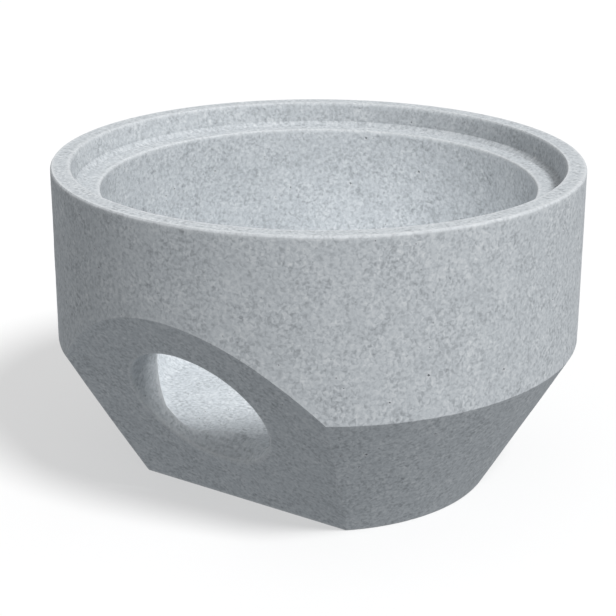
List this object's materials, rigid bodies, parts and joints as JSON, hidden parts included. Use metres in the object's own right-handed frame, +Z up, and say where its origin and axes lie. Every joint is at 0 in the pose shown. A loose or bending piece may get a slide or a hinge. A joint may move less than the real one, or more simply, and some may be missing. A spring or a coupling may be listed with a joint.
{
  "type": "concrete gully base",
  "caption": "Concrete road gully base: straight shaft wall on a conical foot, recessed seat in the rim for the next ring, and a round outlet through a sloping flat.",
  "frame": {"origin": "middle of the flat underside", "axes": "+Z up along the shaft, -Y towards the outlet"},
  "size_m": [0.5499, 0.55, 0.335],
  "materials": {
    "concrete": "matte"
  },
  "bodies": {
    "root": {"gully_base": "concrete"}
  },
  "joints": []
}
